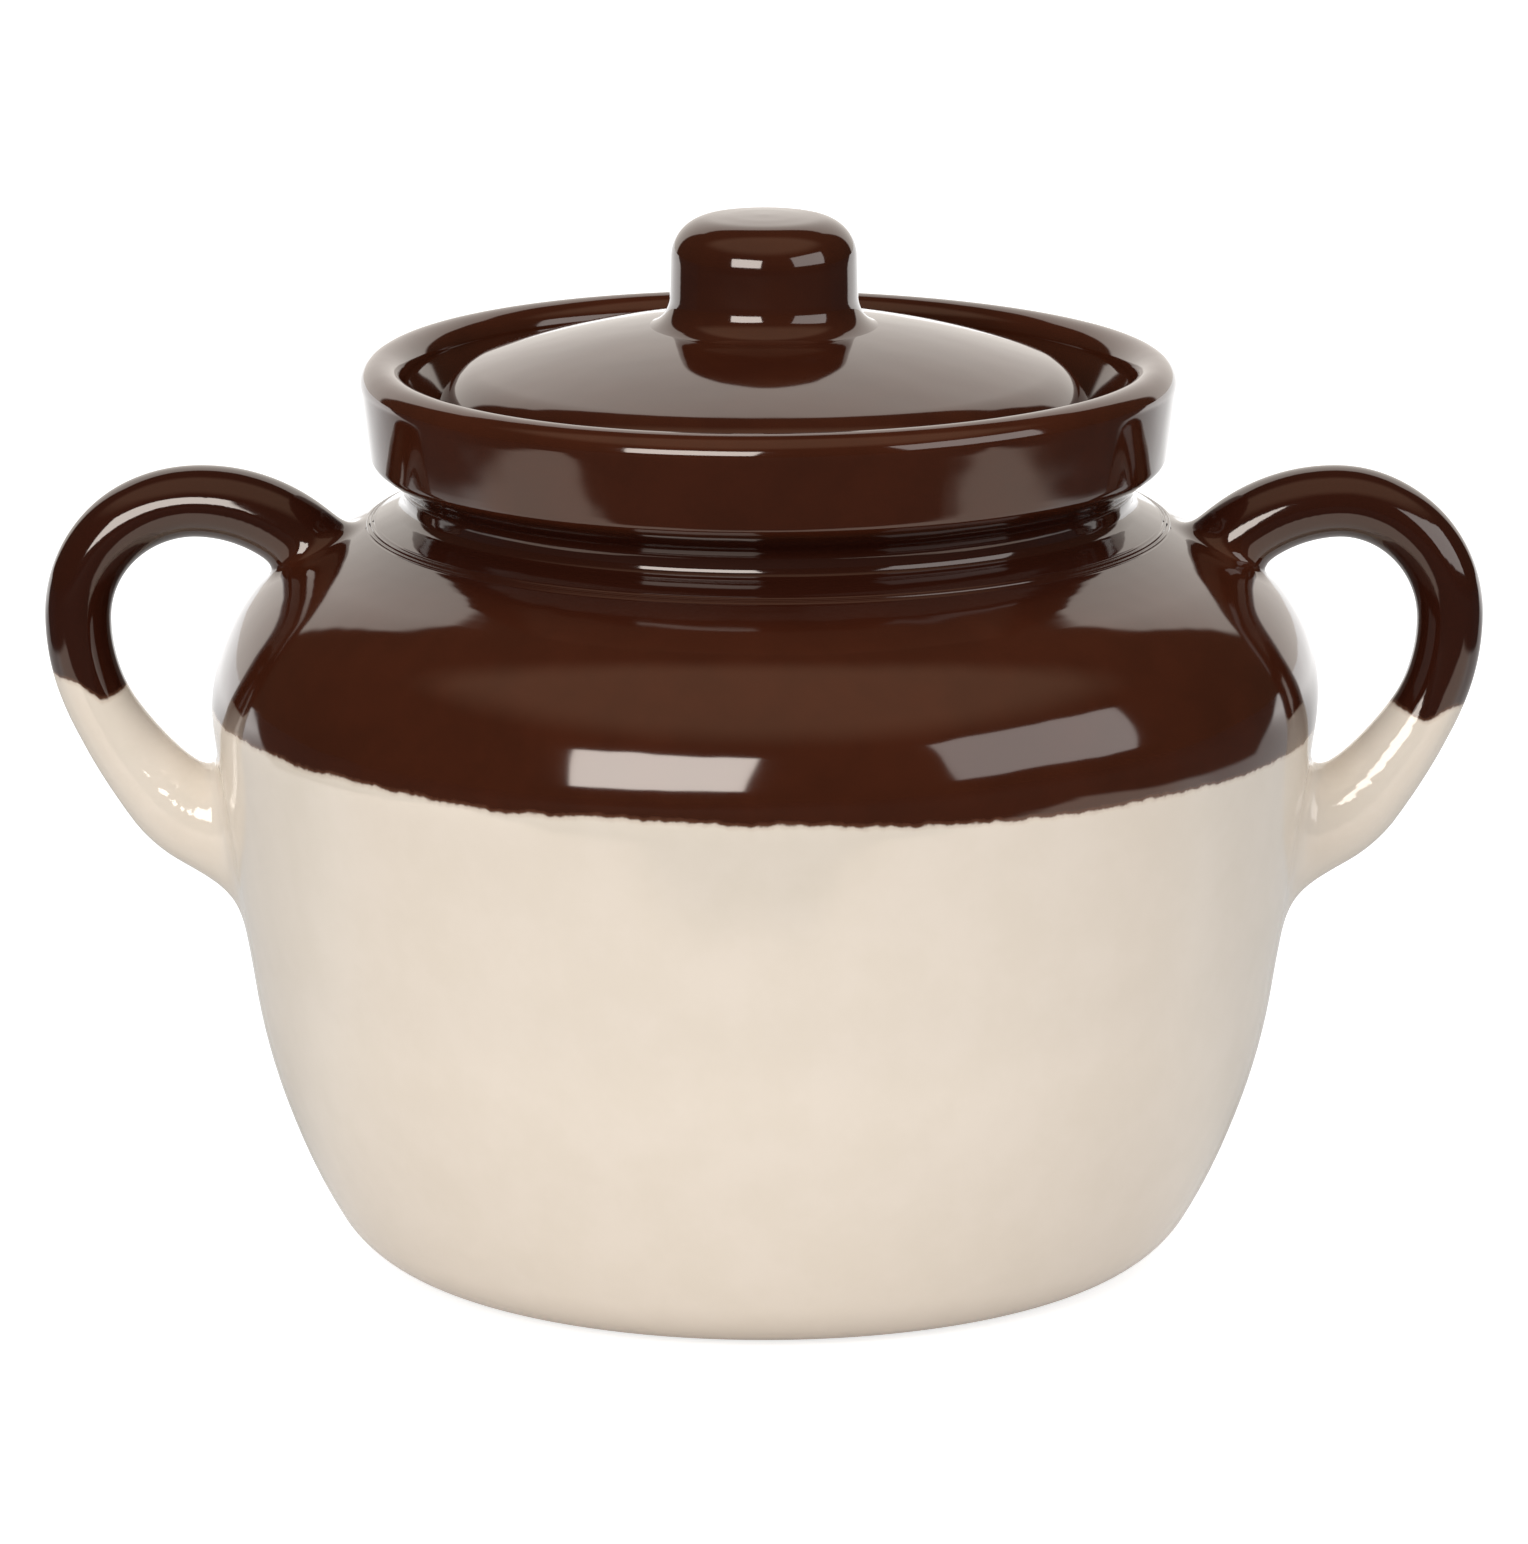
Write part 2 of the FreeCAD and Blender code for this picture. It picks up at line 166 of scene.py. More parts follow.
gallery_line = rounded([
    (75.3, INNER_LIP_CENTRE[1], 0),
    (69.5, GALLERY_HEIGHT, 2.0),
    (THROAT_RADIUS, GALLERY_HEIGHT, 2.5),
    (THROAT_RADIUS, 156.74, 8.0),
    (93.74, 139.07, 0),
])
inside_line = (
    arc(SHOULDER_CENTRE, SHOULDER_RADIUS - WALL, SHOULDER_END, WALL_END, 30)
    + arc(WALL_CENTRE, WALL_RADIUS - WALL, WALL_END, BASE_END, 30)
    + arc(BASE_CENTRE, BASE_RADIUS - WALL, BASE_END, -90, 14)
    + [(0.0, WALL)]
)
pot_line = foot_line + belly_line + neck_line + collar_line + lip_line + gallery_line + inside_line

# The lid, from the middle of its underside over the locating ring and the flange to the crown
RING_BORE = 52.3
RING_RADIUS = 59.3
RING_FOOT = 168.5
LID_RADIUS = 67.6
FLANGE_HEIGHT = 173.5
LID_EDGE_CENTRE = (55.6, 177.33)
LID_EDGE_RADIUS = 12.0
DOME_CENTRE = (0, 12.59)
DOME_RADIUS = 185.87
DOME_START = 71.35

lid_line = (
    rounded([
        (0, 190.96, 0),
        (18, 190.05, 0),
        (36, 187.29, 0),
        (RING_BORE, 183.12, 2.0),
        (RING_BORE, RING_FOOT, 1.5),
        (RING_RADIUS, RING_FOOT, 1.5),
        (RING_RADIUS, FLANGE_HEIGHT, 0.8),
        (LID_RADIUS, FLANGE_HEIGHT, 0.8),
        (LID_RADIUS, LID_EDGE_CENTRE[1], 0),
    ])
    + arc(LID_EDGE_CENTRE, LID_EDGE_RADIUS, 0, DOME_START, 26)
    + arc(DOME_CENTRE, DOME_RADIUS, DOME_START, 90, 40)
)
knob_line = rounded([
    (0, 195.2, 0),
    (30.5, 195.7, 0),
    (19.6, 197.45, 6.4),
    (19.1, 219.05, 8.4),
    (7.0, 219.8, 0),
    (0, 219.96, 0),
], 14)


# Meshes

def surface(name, points, faces, normals=None):
    mesh = bpy.data.meshes.new(name)
    mesh.from_pydata((np.asarray(points) * MM).tolist(), [], faces)
    mesh.polygons.foreach_set("use_smooth", [True] * len(mesh.polygons))
    if normals is not None:
        mesh.normals_split_custom_set_from_vertices(normals.tolist())
    mesh.update()
    piece = bpy.data.objects.new(name, mesh)
    bpy.context.scene.collection.objects.link(piece)
    return piece


def turned(name, line, shape=None):
    """A turned piece; the outline runs from the axis outwards and back to the axis."""
    line = evened(line)
    angles = np.linspace(0, 2 * math.pi, TURNS, endpoint=False)
    radius, turn = np.meshgrid(line[1:-1, 0], angles, indexing="ij")
    height = np.repeat(line[1:-1, 1][:, None], TURNS, axis=1)
    ring = np.stack([radius * np.cos(turn), radius * np.sin(turn), height], axis=-1).reshape(-1, 3)
    if shape:
        ring = shape(ring)
    first = len(ring)
    points = np.vstack([ring, [[0, 0, line[0, 1]], [0, 0, line[-1, 1]]]])
    rows = len(line) - 2
    here = np.arange(rows - 1)[:, None] * TURNS
    at = np.arange(TURNS)[None, :]
    after = (at + 1) % TURNS
    quads = np.stack([here + at, here + after, here + TURNS + after, here + TURNS + at], axis=-1)
    faces = quads.reshape(-1, 4).tolist()
    last = (rows - 1) * TURNS
    for i in range(TURNS):
        j = (i + 1) % TURNS
        faces.append((first, j, i))
        faces.append((first + 1, last + i, last + j))
    return surface(name, points, faces)


def ramp(value, low, high):
    """0 below the low value, 1 above the high one, and smooth between them."""
    share = np.clip((value - low) / (high - low), 0, 1)
    return share * share * (3 - 2 * share)


# How a pot made by hand strays from true
SLIM_SHARE = 0.006
LEAN = 0.9
TWIST = 0.7
RIM_RADIUS = 84


def hand_made(points):
    """The top of the pot sits a little to the right and its rim is twisted; the lower wall is slimmer."""
    out = points.copy()
    x, y, height = points.T
    slim = ramp(height, 6, 34) * (1 - ramp(height, 58, 82))
    off_handles = 1 - ramp(np.abs(x), 112, 138)
    out[:, :2] *= (1 - SLIM_SHARE * slim)[:, None]
    out[:, 0] += LEAN * ramp(height, 112, 134) * off_handles
    out[:, 2] -= TWIST * x * y / RIM_RADIUS ** 2 * ramp(height, 164, 176)
    return out


# Handles: a swept bar joined to the pot by a smoothed root, both known by their distance from a point

class Chart:
    """Values on an even grid, read between the grid points."""

    def __init__(self, values, low, step):
        self.values = values
        self.low = low
        self.step = step

    def __call__(self, u, v):
        at = []
        for given, low, count in zip((u, v), self.low, self.values.shape):
            at.append(np.clip((given - low) / self.step, 0, count - 1.001))
        i = at[0].astype(int)
        j = at[1].astype(int)
        a = at[0] - i
        b = at[1] - j
        rows = self.values
        near = rows[i, j] * (1 - a) + rows[i + 1, j] * a
        far = rows[i, j + 1] * (1 - a) + rows[i + 1, j + 1] * a
        return near * (1 - b) + far * b


CHART_STEP = 0.25

# The rim of a handle's skin ends this far under the wall of the pot
SINK = 0.003


def grid(low, high):
    return np.meshgrid(
        np.arange(low[0], high[0], CHART_STEP),
        np.arange(low[1], high[1], CHART_STEP),
        indexing="ij",
    )


def pot_chart(low, high):
    """Distance from the outside of the pot, less than nothing inside it."""
    line = evened(belly_line + rounded([(*SHOULDER_TOP, 0), NECK_FOOT, (NECK_RADIUS, 169, 0)]))
    u, v = grid(low, high)
    nearest = np.full(u.shape, 1e9)
    for (r0, z0), (r1, z1) in zip(line, line[1:]):
        length = (r1 - r0) ** 2 + (z1 - z0) ** 2
        share = np.clip(((u - r0) * (r1 - r0) + (v - z0) * (z1 - z0)) / length, 0, 1)
        away = np.hypot(u - r0 - share * (r1 - r0), v - z0 - share * (z1 - z0))
        nearest = np.minimum(nearest, away)
    edge = np.interp(v, line[:, 1], line[:, 0])
    return Chart(np.where(u < edge, -nearest, nearest) + SINK, low, CHART_STEP)


# Arcs of a handle's centre line, as (x, z), and the ways that it runs on into the wall at its two ends
ROOT_CENTRE = (118.25, 126.8)
ROOT_RADIUS = 33.0
CROWN_CENTRE = (118.25, 135.5)
CROWN_RADIUS = 24.3
DROP_CENTRE = (100.55, 135.5)
DROP_RADIUS = 42.0
LOWER_CENTRE = (58.98, 159.5)
LOWER_RADIUS = 90.0
END_CENTRE = (102.86, 118.56)
END_RADIUS = 30.0
UPPER_WAY = (-0.695, -0.719)
LOWER_WAY = (-0.883, -0.469)
RUN_IN = np.linspace(0.3, 16, 40)

# Half the depth of the bar at distances along it; it is wider than deep by the same amount all the way
BAR_STOPS = np.array([0, 16, 42, 61, 80, 97, 112, 123, 143])
BAR_DEPTHS = (10.2, 8.2, 7.4, 7.2, 6.85, 6.9, 8.3, 9.8, 10.6)
BAR_WIDER = 0.6


def smoothed(values, count=41):
    return np.convolve(np.pad(values, count // 2, mode="edge"), np.ones(count) / count, "valid")


def handle_stations():
    """Centre line of the right handle, with half its depth and half its width at each point."""
    root = arc(ROOT_CENTRE, ROOT_RADIUS, 136, 90, 60)
    crown = arc(CROWN_CENTRE, CROWN_RADIUS, 90, 0, 60)
    drop = (
        arc(DROP_CENTRE, DROP_RADIUS, 0, -30, 40)
        + arc(LOWER_CENTRE, LOWER_RADIUS, -30, -43, 40)
        + arc(END_CENTRE, END_RADIUS, -43, -62, 20)
    )
    upper = [(root[0][0] + UPPER_WAY[0] * s, root[0][1] + UPPER_WAY[1] * s) for s in RUN_IN[::-1]]
    lower = [(drop[-1][0] + LOWER_WAY[0] * s, drop[-1][1] + LOWER_WAY[1] * s) for s in RUN_IN]
    line = evened(upper + root + crown + drop + lower, 0.3)
    run = distance_along(line)
    depth = np.interp(run, BAR_STOPS * run[-1] / BAR_STOPS[-1], BAR_DEPTHS)
    return line, smoothed(depth), smoothed(depth + BAR_WIDER)


def handle_charts(low, high):
    """How far a point lies beside the centre line, and the half depth and half width there."""
    line, depth, width = handle_stations()
    ahead = directions(line)
    u, v = grid(low, high)
    nearest = np.full(u.shape, 1e9)
    chosen = np.zeros(u.shape, int)
    for i, (x, z) in enumerate(line):
        away = (u - x) ** 2 + (v - z) ** 2
        closer = away < nearest
        nearest[closer] = away[closer]
        chosen[closer] = i
    offset = (u - line[chosen, 0]) * -ahead[chosen, 1] + (v - line[chosen, 1]) * ahead[chosen, 0]
    return [Chart(values, low, CHART_STEP) for values in (offset, depth[chosen], width[chosen])]


pot_gap = pot_chart((60.0, 30.0), (160.0, 180.0))
handle_offset, handle_depth, handle_width = handle_charts((70.0, 56.0), (158.0, 176.0))


UPPER_FILLET = 5.5
LOWER_FILLET = 10.0


def fillet(z):
    """Reach of the smoothing at a root, which changes over from the lower root to the upper one."""
    return UPPER_FILLET + (LOWER_FILLET - UPPER_FILLET) * (1 - ramp(z, 96, 140))


def handle_gap(x, y, z):
    depth = handle_depth(x, z)
    width = handle_width(x, z)
    return (np.hypot(handle_offset(x, z) / depth, y / width) - 1) * np.minimum(depth, width)


def fused_gap(x, y, z):
    """Distance from the pot and the handle, joined with a smoothed root."""
    bar = handle_gap(x, y, z)
    wall = pot_gap(np.hypot(x, y), z)
    reach = fillet(z)
    share = np.clip(reach - np.abs(bar - wall), 0, None) / reach
    return np.minimum(bar, wall) - share ** 3 * reach / 6


def fused_slope(x, y, z, d=0.15):
    slope = np.stack([
        fused_gap(x + d, y, z) - fused_gap(x - d, y, z),
        fused_gap(x, y + d, z) - fused_gap(x, y - d, z),
        fused_gap(x, y, z + d) - fused_gap(x, y, z - d),
    ], axis=-1) / (2 * d)
    return slope


NET_LOW = np.array([74.0, -30.0, 52.0])
NET_HIGH = np.array([153.0, 30.0, 170.5])
SKIN_SHARE = 0.98


def crossed_cells(inside):
    """The cells that the surface runs through, which have some corners inside it and some outside."""
    count = np.zeros(tuple(n - 1 for n in inside.shape), int)
    for i in (0, 1):
        for j in (0, 1):
            for k in (0, 1):
                count += inside[i:i + count.shape[0], j:j + count.shape[1], k:k + count.shape[2]]
    return (count > 0) & (count < 8)


def net_faces(inside, cells, number):
    """One face for each grid edge that the surface crosses, between the four cells round that edge."""
    faces = []
    for axis in range(3):
        one, two = [a for a in range(3) if a != axis]
        first = np.take(inside, range(inside.shape[axis] - 1), axis=axis)
        second = np.take(inside, range(1, inside.shape[axis]), axis=axis)
        at = np.argwhere(first != second)
        keep = (at[:, one] > 0) & (at[:, two] > 0)
        keep &= (at[:, one] < cells.shape[one]) & (at[:, two] < cells.shape[two])
        at = at[keep]
        corners = []
        for a, b in ((0, 0), (-1, 0), (-1, -1), (0, -1)):
            place = at.copy()
            place[:, one] += a
            place[:, two] += b
            corners.append(number[tuple(place.T)])
        quad = np.stack(corners, axis=1)
        back = ~first[tuple(at.T)]
        if axis == 1:
            back = ~back
        quad[back] = quad[back][:, ::-1]
        faces.append(quad)
    return np.vstack(faces)


def skin_of_handle():
    """A net over the handle and its smoothed roots, pulled onto the surface."""
    axes = [np.arange(a, b, CELL) for a, b in zip(NET_LOW, NET_HIGH)]
    places = np.stack(np.meshgrid(*axes, indexing="ij"), axis=-1)
    inside = fused_gap(places[..., 0], places[..., 1], places[..., 2]) < 0
    cells = crossed_cells(inside)
    number = np.full(cells.shape, -1)
    number[cells] = np.arange(cells.sum())
    points = NET_LOW + (np.argwhere(cells) + 0.5) * CELL
    for _ in range(6):
        gap = fused_gap(*points.T)
        slope = fused_slope(*points.T)
        points = points - slope * (gap / np.maximum((slope ** 2).sum(axis=1), 0.2))[:, None]
    quads = net_faces(inside, cells, number)
    near = handle_gap(*points.T) < fillet(points[:, 2]) * SKIN_SHARE
    quads = quads[near[quads].all(axis=1)]
    used, quads = np.unique(quads, return_inverse=True)
    points = points[used]
    normals = fused_slope(*points.T)
    normals /= np.linalg.norm(normals, axis=1)[:, None]
    return points, quads.reshape(-1, 4), normals


def handle(name, side, skin):
    points, quads, normals = skin
    flip = np.array([side, 1, 1])
    if side < 0:
        quads = quads[:, ::-1]
    return surface(name, hand_made(points * flip), quads.tolist(), normals * flip)


pot = turned("pot_stoneware", pot_line, hand_made)
lid = turned("lid_stoneware", lid_line)
knob = turned("knob_stoneware", knob_line)
skin = skin_of_handle()
left = handle("handle_left_stoneware", -1, skin)
right = handle("handle_right_stoneware", 1, skin)


# Shader nodes

def node(tree, kind, inputs=None, **settings):
    """A new node; an input is a plain value or the output of another node."""
    made = tree.nodes.new(kind)
    for key, value in settings.items():
        setattr(made, key, value)
    for key, value in (inputs or {}).items():
        if isinstance(value, bpy.types.NodeSocket):
            tree.links.new(value, made.inputs[key])
        else:
            made.inputs[key].default_value = value
    return made


def maths(tree, operation, *values):
    return node(tree, "ShaderNodeMath", dict(enumerate(values)), operation=operation).outputs[0]


def times(tree, first, second):
    return maths(tree, "MULTIPLY", first, second)


def between(tree, value, low, high, start=0.0, end=1.0):
    """Goes smoothly from start to end while the value goes from low to high."""
    given = {"Value": value, "From Min": low, "From Max": high, "To Min": start, "To Max": end}
    return node(tree, "ShaderNodeMapRange", given, interpolation_type="SMOOTHSTEP").outputs[0]


def blended(tree, share, first, second):
    return node(tree, "ShaderNodeMix", {0: share, 6: first, 7: second}, data_type="RGBA").outputs[2]


def grain(tree, vector, scale, detail=2.0, roughness=0.5):
    given = {"Vector": vector, "Scale": scale, "Detail": detail, "Roughness": roughness}
    return node(tree, "ShaderNodeTexNoise", given).outputs["Fac"]


def colour(r, g, b):
    """An sRGB colour, 0 to 255, as a linear one."""
    out = []
    for value in (r, g, b):
        value /= 255
        out.append(value / 12.92 if value <= 0.04045 else ((value + 0.055) / 1.055) ** 2.4)
    return (*out, 1.0)


# Glazes; places and heights in metres

GLOSS = 0.07
BARE_ROUGHNESS = 0.7
GLAZE_INDEX = 1.74
SHEEN_TINT = (1.0, 0.93, 0.87, 1)
CREAM_LOW = colour(227, 216, 201)
CREAM_HIGH = colour(230, 219, 205)
# a darker brown for the handles, which round the neck under the collar is painted shade
DARKENED_BROWN = colour(43, 17, 10)
DARKENED_SHARE = 0.85
HALO_BROWN = colour(150, 108, 84)
HALO_WIDTH = 0.0011
HALO_SHARE = 0.25
BARE_CLAY = colour(198, 178, 148)

# The edge of the brown glaze: its height and tilt on the pot, how ragged it is, and its course on the handles
DIP_HEIGHT = 0.12045
DIP_TILT = 0.0145
WAVE_DEPTH = 0.004
DRIP_DEPTH = 0.0018
TEETH_DEPTH = 0.0011
EDGE_SOFTNESS = 0.0003
BAR_RISE = 0.0026
LEFT_BAR_RISE = 0.002
BAR_MIDDLE = 0.1375
BAR_HALF = 0.0065
BAR_SAG = 0.0026

# An oval of revolution that runs within the thickness of the wall
OVAL_RADIUS = 0.111
OVAL_HEIGHT = 0.162
OVAL_CENTRE = 0.118


def line_height(tree, place, spot, aside):
    """Height above the ragged edge where the brown glaze meets the cream one."""
    flat = node(tree, "ShaderNodeCombineXYZ", {0: spot[0], 1: spot[1]}).outputs[0]
    wave = grain(tree, flat, 22.0, 1.0)
    drip = grain(tree, flat, 140.0, 2.0)
    teeth = grain(tree, place, 520.0, 2.0)
    # on the handles the edge stands higher at both sides of the bar and sags between them
    rise = between(tree, aside, 0.118, 0.127, 0.0, BAR_RISE)
    rise = maths(tree, "ADD", rise, between(tree, spot[0], -0.136, -0.149, 0.0, LEFT_BAR_RISE))
    off_middle = maths(tree, "ABSOLUTE", maths(tree, "SUBTRACT", aside, BAR_MIDDLE))
    sag = between(tree, off_middle, 0.0, BAR_HALF, BAR_SAG, 0.0)
    height = maths(tree, "MULTIPLY_ADD", spot[0], DIP_TILT, spot[2])
    height = maths(tree, "MULTIPLY_ADD", wave, WAVE_DEPTH, height)
    height = maths(tree, "MULTIPLY_ADD", drip, DRIP_DEPTH, height)
    height = maths(tree, "MULTIPLY_ADD", teeth, TEETH_DEPTH, height)
    height = maths(tree, "ADD", height, maths(tree, "SUBTRACT", sag, rise))
    return maths(tree, "SUBTRACT", height, DIP_HEIGHT)


def in_bowl(tree, place, spot):
    """1 on the inside of the pot and 0 on its outside."""
    shares = (1 / OVAL_RADIUS, 1 / OVAL_RADIUS, 1 / OVAL_HEIGHT)
    given = {0: place, 1: shares, 2: (0, 0, -OVAL_CENTRE / OVAL_HEIGHT)}
    oval = node(tree, "ShaderNodeVectorMath", given, operation="MULTIPLY_ADD").outputs[0]
    away = node(tree, "ShaderNodeVectorMath", {0: oval}, operation="LENGTH").outputs["Value"]
    above_foot = between(tree, spot[2], 0.004, 0.006)
    return times(tree, between(tree, away, 0.998, 1.002, 1.0, 0.0), above_foot)


def two_tones(tree, place, spot, mottled, brown):
    """Colour and roughness of a pot that was dipped in cream glaze below and brown glaze above."""
    # the brown glaze is darker on the handles; round the neck, under the collar, the darker brown is painted
    # shade
    aside = maths(tree, "ABSOLUTE", spot[0])
    neck = times(tree, between(tree, spot[2], 0.148, 0.157), between(tree, spot[2], 0.166, 0.17, 1.0, 0.0))
    darkening = maths(tree, "MAXIMUM", between(tree, aside, 0.110, 0.126), neck)
    brown = blended(tree, times(tree, darkening, DARKENED_SHARE), brown, DARKENED_BROWN)
    cream = blended(tree, mottled, CREAM_LOW, CREAM_HIGH)
    height = line_height(tree, place, spot, aside)
    halo = between(tree, maths(tree, "ABSOLUTE", height), 0.0, HALO_WIDTH, 1.0, 0.0)
    tint = blended(tree, between(tree, height, -EDGE_SOFTNESS, EDGE_SOFTNESS), cream, brown)
    tint = blended(tree, times(tree, halo, HALO_SHARE), tint, HALO_BROWN)
    # the bowl is brown all over, and the foot ring is wiped bare
    tint = blended(tree, in_bowl(tree, place, spot), tint, brown)
    bare = between(tree, spot[2], 0.0005, 0.0012, 1.0, 0.0)
    tint = blended(tree, bare, tint, BARE_CLAY)
    return tint, between(tree, bare, 0.0, 1.0, GLOSS, BARE_ROUGHNESS)


def glaze(name, brown_low, brown_high, dipped=False):
    material = bpy.data.materials.new(name)
    material.use_nodes = True
    tree = material.node_tree
    shader = tree.nodes["Principled BSDF"]
    place = node(tree, "ShaderNodeTexCoord").outputs["Object"]
    spot = node(tree, "ShaderNodeSeparateXYZ", {0: place}).outputs
    mottled = between(tree, grain(tree, place, 70.0, 4.0, 0.6), 0.3, 0.7)
    tint = blended(tree, mottled, brown_low, brown_high)
    if dipped:
        tint, roughness = two_tones(tree, place, spot, mottled, tint)
        tree.links.new(roughness, shader.inputs["Roughness"])
    else:
        shader.inputs["Roughness"].default_value = GLOSS
    tree.links.new(tint, shader.inputs["Base Color"])
    shader.inputs["IOR"].default_value = GLAZE_INDEX
    shader.inputs["Specular Tint"].default_value = SHEEN_TINT
    ripple = grain(tree, place, 38.0, 2.0)
    bump = node(tree, "ShaderNodeBump", {"Height": ripple, "Strength": 0.12, "Distance": 0.002})
    tree.links.new(bump.outputs[0], shader.inputs["Normal"])
    return material


pot_glaze = glaze("two_tone_glaze", colour(57, 25, 13), colour(63, 28, 15), dipped=True)
brown_glaze = glaze("brown_glaze", colour(52, 22, 12), colour(58, 26, 14))

for piece, body, cad_node, slot, material in (
    (pot, "pot", "pot_body", "pot_glaze", pot_glaze),
    (left, "pot", "handle_left", "handle_glaze", pot_glaze),
    (right, "pot", "handle_right", "handle_glaze", pot_glaze),
    (lid, "lid", "lid", "lid_glaze", brown_glaze),
    (knob, "lid", "lid_knob", "lid_glaze", brown_glaze),
):
    piece.data.materials.append(material)
    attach(piece, body)
    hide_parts(cad_node)


# Stage: a sheet of white paper in a dark room

DARK = (0.05, 0.05, 0.05, 1)
PAPER = (0.66, 0.66, 0.66, 1)
WHITE = (1, 1, 1, 1)
WARM_PAPER = (0.94, 0.82, 0.74, 1)
PAPER_GLOW = 0.75

# Where the sheet of paper fades out, in metres
SHEET_FRONT = (-0.26, -0.22)
SHEET_SIDE = (0.48, 0.53)
SHEET_WIDENS_FROM = 0.2
SHEET_WIDENING = 1.1


def sheet_share(tree, ground, spot):
    """1 on the sheet, which ends in front of the pot and beside it and widens behind it."""
    ragged = maths(tree, "MULTIPLY_ADD", grain(tree, ground, 9.0), 0.1, spot[1])
    behind = maths(tree, "MAXIMUM", maths(tree, "SUBTRACT", spot[1], SHEET_WIDENS_FROM), 0.0)
    beside = maths(tree, "SUBTRACT", maths(tree, "ABSOLUTE", spot[0]), times(tree, behind, SHEET_WIDENING))
    return times(tree, between(tree, ragged, *SHEET_FRONT), between(tree, beside, *SHEET_SIDE, 1.0, 0.0))


def white_paper():
    """Paper that is white to the camera, and as dim as a real sheet where the glaze mirrors it."""
    material = bpy.data.materials.new("white_paper")
    material.use_nodes = True
    tree = material.node_tree
    shader = tree.nodes["Principled BSDF"]
    shader.inputs["Roughness"].default_value = 1.0
    shader.inputs["Specular IOR Level"].default_value = 0.0
    rays = node(tree, "ShaderNodeLightPath").outputs
    ground = node(tree, "ShaderNodeTexCoord").outputs["Object"]
    spot = node(tree, "ShaderNodeSeparateXYZ", {0: ground}).outputs
    sheet = sheet_share(tree, ground, spot)
    mirrored = maths(tree, "ADD", rays["Is Glossy Ray"], rays["Is Transmission Ray"])
    under_pot = between(tree, spot[1], -0.02, 0.08, 0.4, 0.0)
    behind_pot = between(tree, spot[1], 0.25, 0.9, 0.0, 1.5)
    level = times(tree, sheet, maths(tree, "ADD", under_pot, behind_pot))
    seen = maths(tree, "MULTIPLY_ADD", mirrored, level, rays["Is Camera Ray"])
    pale = maths(tree, "MAXIMUM", rays["Is Camera Ray"], sheet)
    near = times(tree, mirrored, between(tree, spot[1], -0.1, 0.04, 1.0, 0.0))
    warmth = blended(tree, near, WHITE, WARM_PAPER)
    given = {0: 1.0, 6: blended(tree, pale, DARK, PAPER), 7: warmth}
    shade = node(tree, "ShaderNodeMix", given, data_type="RGBA", blend_type="MULTIPLY").outputs[2]
    tree.links.new(shade, shader.inputs["Base Color"])
    glow = node(tree, "ShaderNodeEmission", {"Color": warmth, "Strength": times(tree, seen, PAPER_GLOW)})
    both = node(tree, "ShaderNodeAddShader", {0: shader.outputs[0], 1: glow.outputs[0]})
    tree.links.new(both.outputs[0], tree.nodes["Material Output"].inputs["Surface"])
    return material


floor_mesh = bpy.data.meshes.new("floor")
floor_mesh.from_pydata([(-9, -6, 0), (9, -6, 0), (9, 12, 0), (-9, 12, 0)], [], [(0, 1, 2, 3)])
floor_mesh.materials.append(white_paper())
floor = bpy.data.objects.new("floor", floor_mesh)
bpy.context.scene.collection.objects.link(floor)


# Lamps

LAMP_AIM = Vector((0, 0, 0.12))
LAMP_DISTANCE = 1.6


def lamp(name, azimuth, elevation, width, height, power, tint):
    """A soft box; azimuth in degrees from the viewer, to the right."""
    data = bpy.data.lights.new(name, "AREA")
    data.shape = "RECTANGLE"
    data.size = width
    data.size_y = height
    data.energy = power
    data.color = tint
    box = bpy.data.objects.new(name, data)
    a = math.radians(azimuth)
    e = math.radians(elevation)
    way = Vector((math.sin(a) * math.cos(e), -math.cos(a) * math.cos(e), math.sin(e)))
    box.location = LAMP_AIM + LAMP_DISTANCE * way
    box.rotation_euler = (box.location - LAMP_AIM).to_track_quat("Z", "Y").to_euler()
    box.visible_camera = False
    bpy.context.scene.collection.objects.link(box)


lamp("soft_box_left", azimuth=-21.8, elevation=17.6, width=1.02, height=0.6, power=14.1, tint=(1, 0.98, 0.96))
lamp("soft_box_right", azimuth=59, elevation=20, width=1.25, height=0.74, power=6.1, tint=(0.98, 0.98, 1))


# Room: a white backdrop behind the pot, a lit ceiling before it, and dim walls

WARM_WALLS = (1, 0.66, 0.45, 1)
BACKDROP = (1.26, 1.19, 1.11, 1)
BACKDROP_SIDE = 0.87
BACKDROP_TOP = 1.17
SOFT_EDGE = 0.03


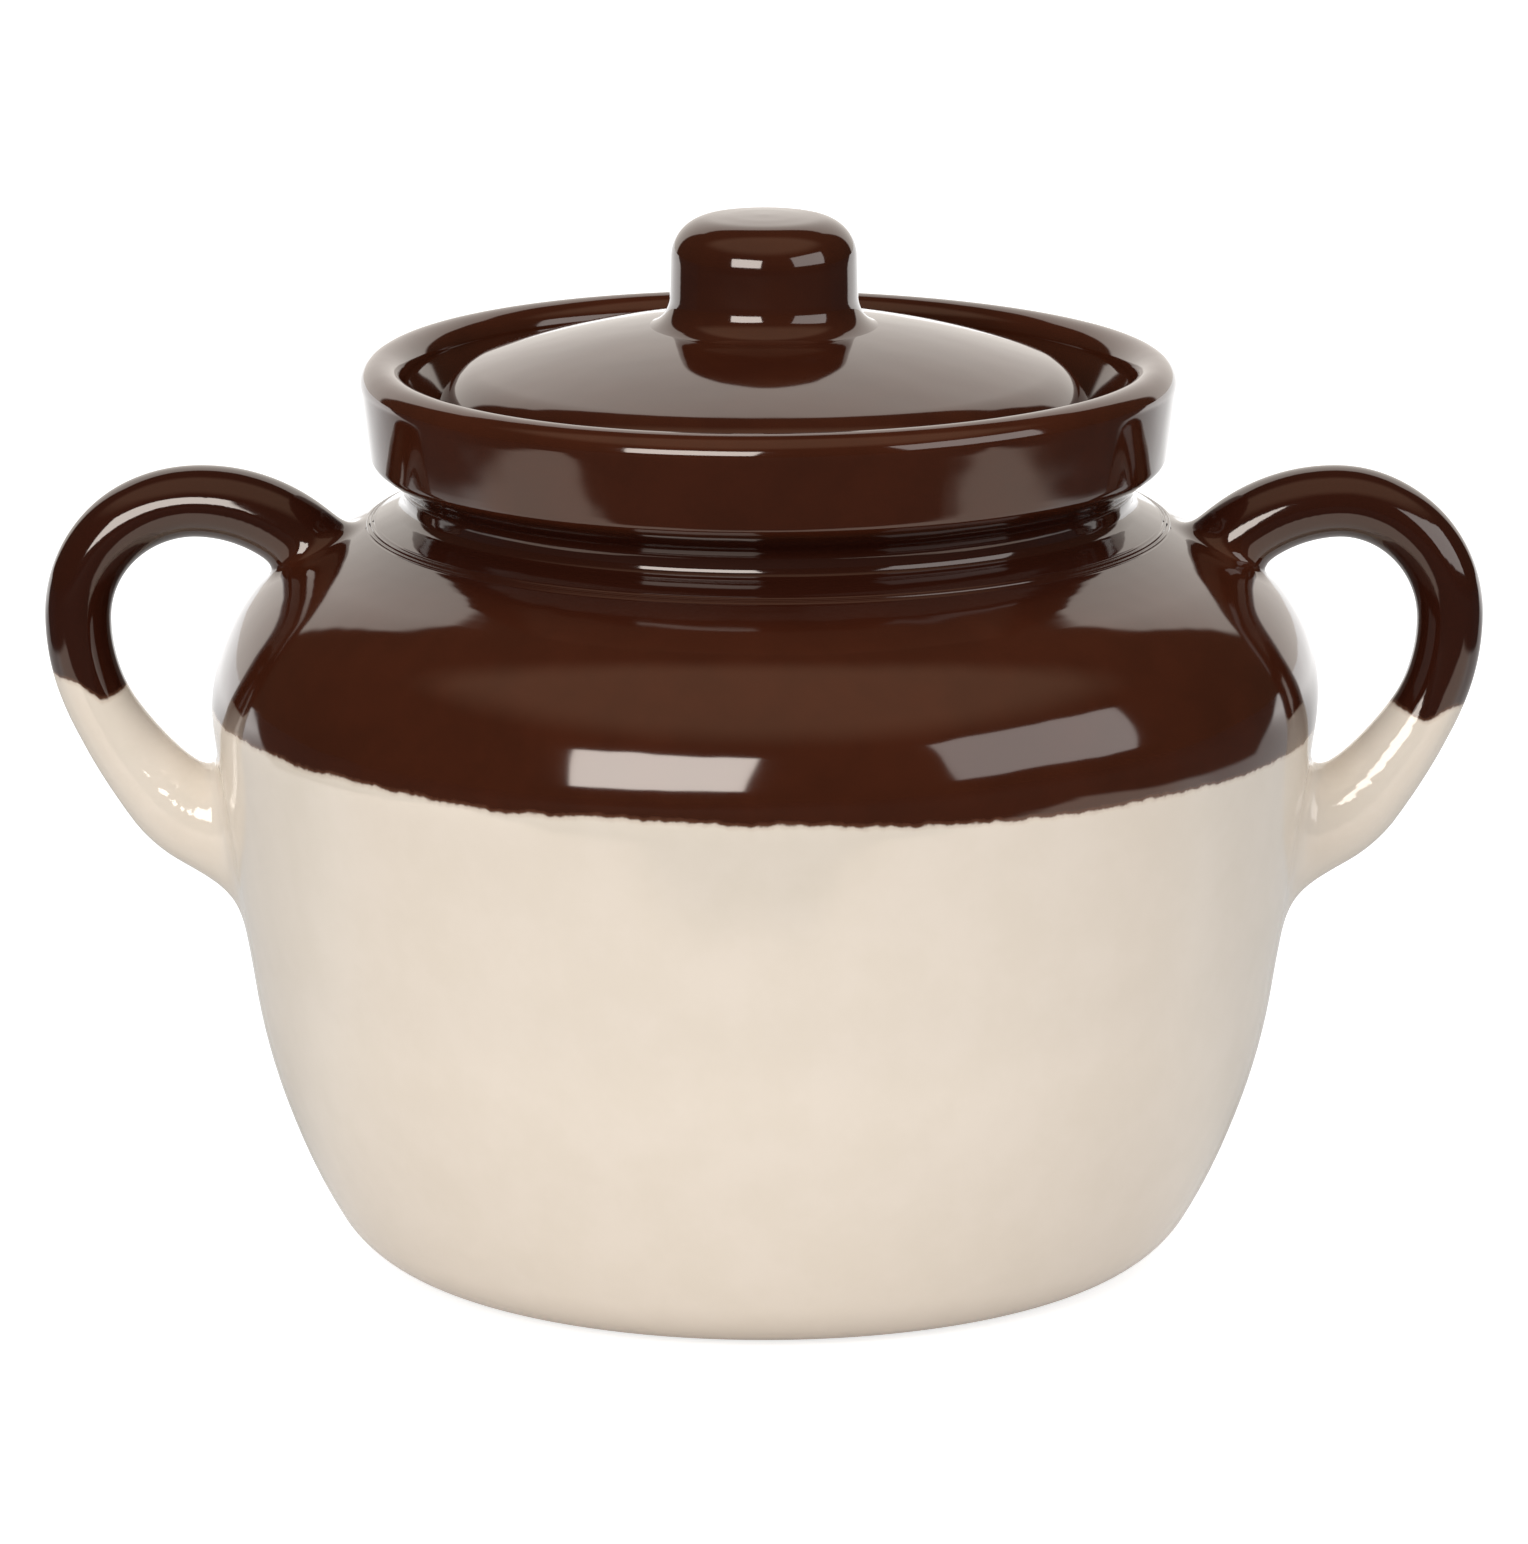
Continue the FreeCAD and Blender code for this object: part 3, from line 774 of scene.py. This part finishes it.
def room():
    """The world; the ceiling and the walls are darker in the glaze than they are as light."""
    world = bpy.data.worlds.new("room")
    world.use_nodes = True
    tree = world.node_tree
    rays = node(tree, "ShaderNodeLightPath").outputs
    generated = node(tree, "ShaderNodeTexCoord").outputs["Generated"]
    way = node(tree, "ShaderNodeSeparateXYZ", {0: generated}).outputs
    aside = maths(tree, "ABSOLUTE", way[0])
    within_sides = maths(tree, "SUBTRACT", times(tree, way[1], BACKDROP_SIDE), aside)
    under_top = maths(tree, "SUBTRACT", times(tree, way[1], BACKDROP_TOP), way[2])
    backdrop = times(
        tree,
        between(tree, within_sides, -SOFT_EDGE, SOFT_EDGE),
        between(tree, under_top, -SOFT_EDGE, SOFT_EDGE),
    )
    ceiling = times(tree, between(tree, way[2], 0.55, 0.8), between(tree, way[1], 0.25, 0.0))
    ceiling_level = between(tree, rays["Is Glossy Ray"], 0.0, 1.0, 1.2, 0.38)
    wall_level = between(tree, rays["Is Glossy Ray"], 0.0, 1.0, 0.32, 0.05)
    dim = tree.nodes["Background"]
    tree.links.new(blended(tree, rays["Is Glossy Ray"], WHITE, WARM_WALLS), dim.inputs["Color"])
    tree.links.new(maths(tree, "MULTIPLY_ADD", ceiling, ceiling_level, wall_level), dim.inputs["Strength"])
    bright_colour = blended(tree, rays["Is Camera Ray"], BACKDROP, WHITE)
    bright = node(tree, "ShaderNodeBackground", {"Color": bright_colour})
    share = maths(tree, "MAXIMUM", rays["Is Camera Ray"], backdrop)
    both = node(tree, "ShaderNodeMixShader", {0: share, 1: dim.outputs[0], 2: bright.outputs[0]})
    tree.links.new(both.outputs[0], tree.nodes["World Output"].inputs["Surface"])
    return world


bpy.context.scene.world = room()


# Camera

CAMERA_PITCH = 12.881

camera_data = bpy.data.cameras.new("camera")
camera_data.sensor_fit = "VERTICAL"
camera_data.sensor_height = 36
camera_data.lens = 241.7
camera_data.clip_end = 50
camera = bpy.data.objects.new("camera", camera_data)
camera.location = (0, -2.1076, 0.5841)
camera.rotation_euler = (math.radians(90 - CAMERA_PITCH), 0, 0)
bpy.context.scene.collection.objects.link(camera)
bpy.context.scene.camera = camera
bpy.context.scene.view_settings.view_transform = "Standard"
